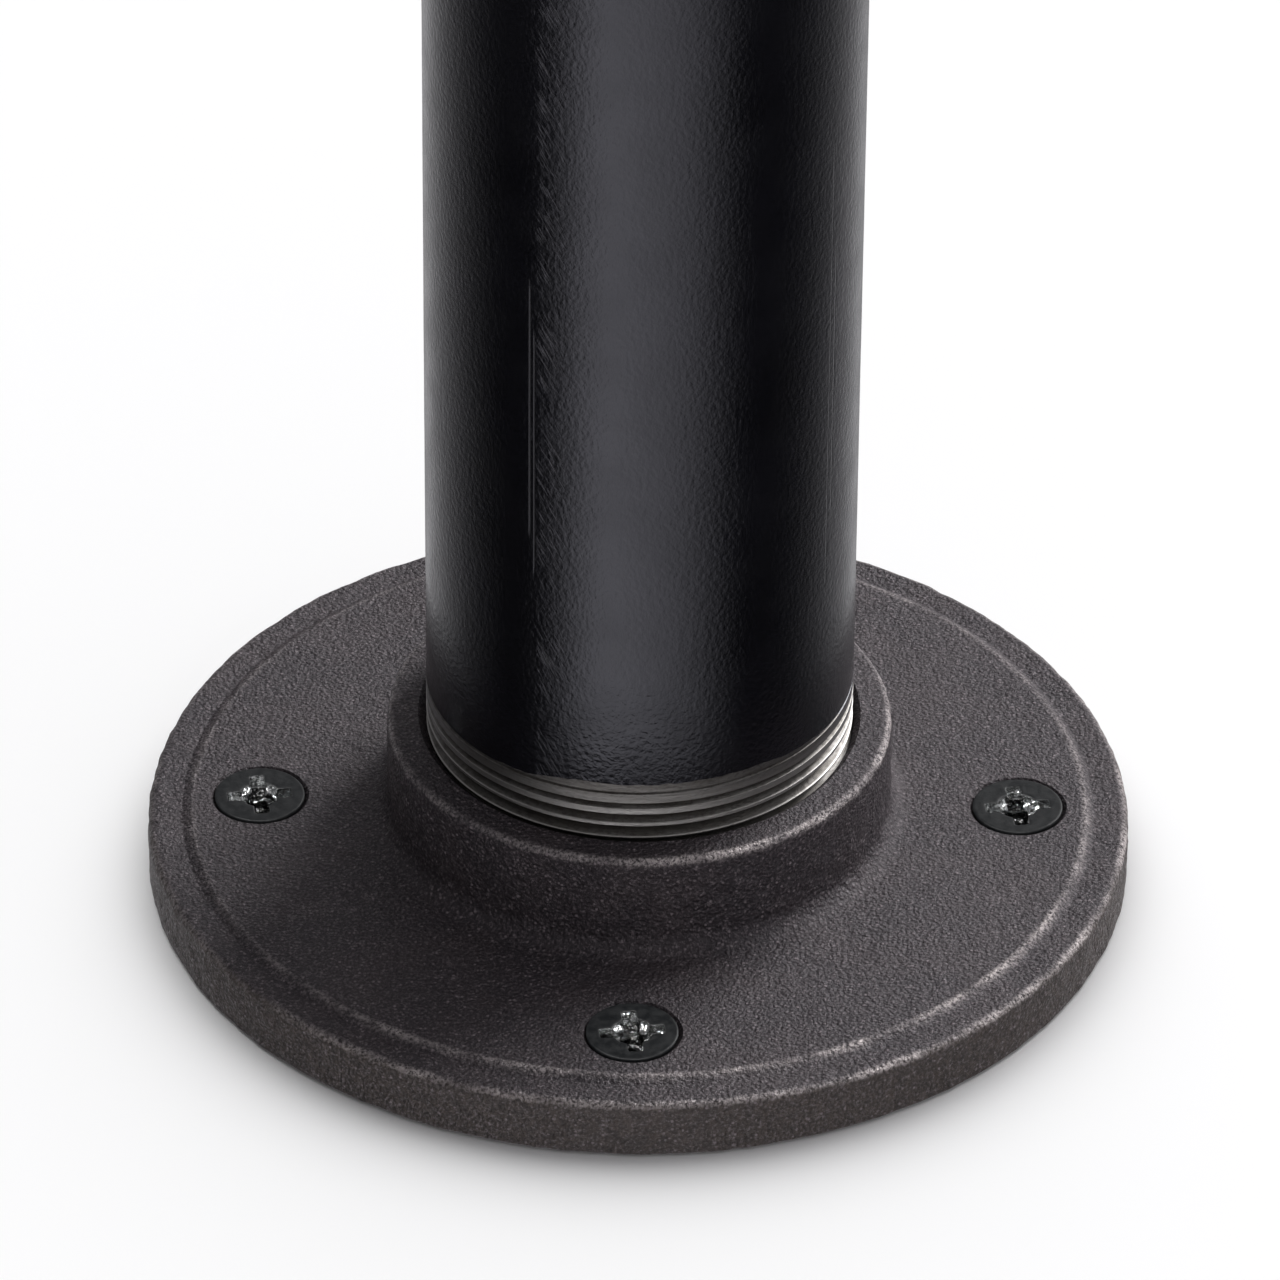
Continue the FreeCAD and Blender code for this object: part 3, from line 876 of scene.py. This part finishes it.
def bare_share(paint, z):
    """1 on the bare threaded ends and 0 on the lacquer, with a ragged line between them."""
    ragged = paint.math("MULTIPLY", paint.math("SUBTRACT", paint.noise(2.4, 4), 0.5), 0.7)
    height = paint.math("ADD", paint.mask("above_lacquer_edge"), ragged)
    lower = paint.ramp(height, -0.05, 0.1, 1.0, 0.0)
    upper = paint.ramp(z, (PIPE_TOP - UPPER_EDGE) * MM, (PIPE_TOP - UPPER_EDGE + 0.2) * MM)
    return paint.math("MAXIMUM", lower, upper)


def pipe_finish():
    """Black lacquer over mill scale, and bare steel where the thread is cut."""
    paint = Finish("black_pipe_lacquer")
    flat, around, z = paint.unrolled(PIPE_RADIUS)
    bare = bare_share(paint, z)
    marks = paint.math("MAXIMUM", scuffs(paint, flat, around), scratches(paint, around, z))
    steel_tone, steel_normal = bare_steel(paint)
    lacquer_tone, lacquer_normal = lacquer(paint, marks)
    gloss = paint.ramp(paint.noise(7, 3), 0.3, 0.7, 0.19, 0.27)
    return paint.surface(base_color=paint.mix(bare, lacquer_tone, steel_tone), metallic=bare,
                         roughness=paint.blend(bare, gloss, 0.46),
                         normal=paint.mixed("VECTOR", bare, lacquer_normal, steel_normal),
                         specular=0.5, tint=(0.90, 0.90, 1.0))


# Screws and floor

OXIDE_DARK = (0.004, 0.0045, 0.005)
OXIDE_LIGHT = (0.008, 0.0085, 0.009)
OILY_WALL = (0.55, 0.56, 0.56)
# Painted shade: the colour deep inside a screw's recess
RECESS_PAINTED_SHADE = (0.03, 0.03, 0.03)
FLOOR_TONE = (0.93, 0.93, 0.93)


def screw_finish():
    """Black oxide on a screw: satin head, and a bright, wet-looking oily recess, with painted shade deep
    down in it.
    """
    paint = Finish("black_screw_oxide")
    oily = paint.mask("recess")
    film = paint.noise(1.4, 2)
    tone = paint.mix(paint.ramp(film, 0.35, 0.65), OXIDE_DARK, OXIDE_LIGHT)
    # Painted shade: the recess colour turns dark deep down
    tone = paint.mix(oily, tone, paint.mix(paint.mask("deep"), OILY_WALL, RECESS_PAINTED_SHADE))
    rough = paint.blend(oily, paint.ramp(film, 0.3, 0.7, 0.42, 0.52), 0.16)
    ripple = paint.blend(oily, paint.math("MULTIPLY", paint.noise(0.5, 2), 0.1), paint.noise(0.8, 2))
    return paint.surface(base_color=tone, metallic=oily, roughness=rough,
                         normal=paint.bump(ripple, 0.3), specular=0.2)


def floor_finish():
    return Finish("pale_floor").surface(base_color=FLOOR_TONE, roughness=0.9, specular=0.0)


# The object

SHARP_EDGE = 38 * DEG


def dress(piece, material, node):
    """Finish a piece, stand it in for its CAD node and let it ride with the post."""
    mesh = piece.data
    mesh.shade_smooth()
    mesh.set_sharp_from_angle(angle=SHARP_EDGE)
    mesh.materials.clear()
    mesh.materials.append(material)
    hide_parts(node)
    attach(piece, "root")


casting = casting_finish("raw_cast_iron")
flange, pipe, cap = make_flange(), make_pipe(), make_cap()
dress(flange, casting, "floor_flange")
dress(pipe, pipe_finish(), "post_pipe")
dress(cap, casting, "end_cap")
oxide = screw_finish()
screws = [make_screw(side) for side in SCREW_SIDES]
for side, screw in zip(SCREW_SIDES, screws):
    dress(screw, oxide, "deck_screw_" + side)

# Floor, light and camera

CAMERA_SIDE = 0.64 * DEG
CAMERA_ELEVATION = 35.31 * DEG
CAMERA_ROLL = 0.485 * DEG
CAMERA_DISTANCE = 1406
CAMERA_AIM = 37.6  # height on the pipe's axis that the camera looks at
CAMERA_LENS = 280.86
SENSOR_WIDTH = 36
FLOOR_SIZE = 60  # metres
TENT_COLOUR = (0.985, 0.975, 1.0)
TENT_LIGHT = 0.35
TENT_SLANT = 0.3  # this much more light from the right than from straight above
FRONT_LIGHT = (2.0, 1.1)  # on the left and the right of the front
BACK_LIGHT = 0.8
KEY_PLACE = (760, 840, 790)
KEY_SIZE = 600
KEY_POWER = 15.5
GLINT_PLACES = {"glint_left": (-420, -160, 850), "glint_front": (160, -520, 800)}
GLINT_SIZE = 90
GLINT_POWER = 7
WASH_PLACE = (40, 900, 820)
WASH_SPREAD = 88 * DEG
WASH_STRENGTH = 3.5


def make_floor():
    mesh = bpy.data.meshes.new("floor")
    half = FLOOR_SIZE / 2
    corners = [(-half, -half, 0), (half, -half, 0), (half, half, 0), (-half, half, 0)]
    mesh.from_pydata(corners, [], [(0, 1, 2, 3)])
    floor = new_piece("floor", mesh)
    mesh.materials.append(floor_finish())
    floor.visible_glossy = False
    return floor


def make_camera():
    lens = bpy.data.cameras.new("camera")
    lens.lens = CAMERA_LENS
    lens.sensor_width = SENSOR_WIDTH
    lens.clip_end = 100
    camera = bpy.data.objects.new("camera", lens)
    bpy.context.scene.collection.objects.link(camera)
    ahead = Vector((math.sin(-CAMERA_SIDE) * math.cos(CAMERA_ELEVATION),
                    math.cos(CAMERA_SIDE) * math.cos(CAMERA_ELEVATION), -math.sin(CAMERA_ELEVATION)))
    place = Vector((0, 0, CAMERA_AIM * MM)) - ahead * CAMERA_DISTANCE * MM
    turn = ahead.to_track_quat("-Z", "Y").to_matrix().to_4x4()
    camera.matrix_world = Matrix.Translation(place) @ turn @ Matrix.Rotation(CAMERA_ROLL, 4, "Z")
    bpy.context.scene.camera = camera


def hang_lamp(light, place):
    """Put a light at a place, facing the foot of the post."""
    lamp = bpy.data.objects.new(light.name, light)
    bpy.context.scene.collection.objects.link(lamp)
    turn = (-Vector(place)).to_track_quat("-Z", "Y").to_matrix().to_4x4()
    lamp.matrix_world = Matrix.Translation(Vector(place) * MM) @ turn
    return lamp


def area_light(name, place, size, power):
    light = bpy.data.lights.new(name, "AREA")
    light.shape = "RECTANGLE"
    light.size, light.size_y = size * MM, size * MM
    light.energy = power
    return hang_lamp(light, place)


def sun_light(name, place, spread, strength):
    light = bpy.data.lights.new(name, "SUN")
    light.angle = spread
    light.energy = strength
    return hang_lamp(light, place)


def make_world():
    """A white tent overhead; under it, seen only in reflections, a soft front light and dark sides."""
    world = bpy.data.worlds.new("studio")
    bpy.context.scene.world = world
    world.use_nodes = True
    studio = Nodes(world.node_tree)
    background = studio.tree.nodes["Background"]
    studio.put(TENT_COLOUR, background.inputs["Color"])
    x, y, z = studio.split(studio.tree.nodes.new("ShaderNodeTexCoord").outputs["Generated"])
    side = studio.math("ARCTAN2", x, studio.math("MULTIPLY", y, -1.0))
    away = studio.math("ABSOLUTE", side)
    front = studio.ramp(side, -30 * DEG, 30 * DEG, *FRONT_LIGHT)
    front = studio.math("MULTIPLY", front, studio.ramp(away, 14 * DEG, 57 * DEG, 1.0, 0.0))
    back = studio.ramp(away, 75 * DEG, 175 * DEG, 0.02, BACK_LIGHT)
    back = studio.math("MULTIPLY", back, studio.ramp(away, 155 * DEG, 180 * DEG, 1.0, 0.35))
    below = studio.math("ADD", front, back)
    above = studio.math("ADD", TENT_LIGHT, studio.math("MULTIPLY", x, TENT_SLANT))
    level = studio.blend(studio.ramp(z, -0.02, 0.02), below, above)
    studio.put(level, background.inputs["Strength"])


def limit_light(lamp, lit, blocking):
    """Let a lamp light only some objects, and be shaded only by some."""
    for objects, role in ((lit, "receiver_collection"), (blocking, "blocker_collection")):
        group = bpy.data.collections.new(lamp.name + "_" + role)
        for thing in objects:
            group.objects.link(thing)
        setattr(lamp.light_linking, role, group)


floor = make_floor()
make_camera()
make_world()
post = [flange, pipe, cap] + screws
limit_light(area_light("key", KEY_PLACE, KEY_SIZE, KEY_POWER), post, post)
for name, place in GLINT_PLACES.items():
    limit_light(area_light(name, place, GLINT_SIZE, GLINT_POWER), screws, screws + [flange])
limit_light(sun_light("floor_wash", WASH_PLACE, WASH_SPREAD, WASH_STRENGTH), [floor], [flange])
bpy.context.scene.view_settings.view_transform = "Standard"
